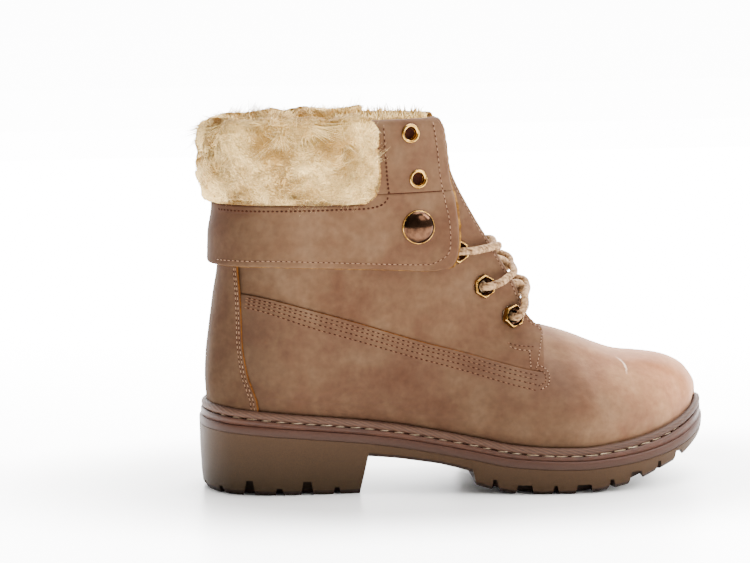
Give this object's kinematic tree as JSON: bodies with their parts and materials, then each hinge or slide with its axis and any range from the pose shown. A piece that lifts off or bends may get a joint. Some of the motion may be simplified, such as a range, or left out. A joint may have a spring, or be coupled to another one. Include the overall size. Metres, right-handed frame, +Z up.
{
  "type": "biker ankle boot",
  "caption": "Right ankle boot on a lugged sole, nubuck upper with a folded fur-topped cuff, snap strap and round laces through brass eyelets.",
  "frame": {"origin": "centre of the boot's footprint, on the floor under the sole", "axes": "+X from heel to toe, +Y towards the inner (medial) side of the foot, +Z up"},
  "size_m": [0.2715, 0.1009, 0.2003],
  "materials": {
    "sole_rubber": "matt, fine grain",
    "midsole_rubber": "matt",
    "welt_rubber": "matt, ribbed bead",
    "insole_board": "short pile",
    "nubuck_leather": "mottled nubuck",
    "lining_fur": "deep curly pile",
    "dark_brass": "antique, polished",
    "brass": "polished",
    "cord_braid": "round braid"
  },
  "bodies": {
    "root": {"outsole": "sole_rubber", "midsole": "midsole_rubber", "welt": "welt_rubber", "insole": "insole_board", "upper": "nubuck_leather", "tongue": "nubuck_leather", "back_panel": "nubuck_leather", "cuff": "nubuck_leather", "cuff_fur": "lining_fur", "snap_lateral": "dark_brass", "snap_medial": "dark_brass", "eyelet_lateral_1": "brass", "eyelet_lateral_2": "brass", "eyelet_lateral_3": "brass", "washer_lateral_1": "brass", "washer_lateral_2": "brass", "eyelet_medial_1": "brass", "eyelet_medial_2": "brass", "eyelet_medial_3": "brass", "washer_medial_1": "brass", "washer_medial_2": "brass", "lace_cross_1": "cord_braid", "lace_cross_2": "cord_braid", "lace_bar_top": "cord_braid"}
  },
  "joints": []
}
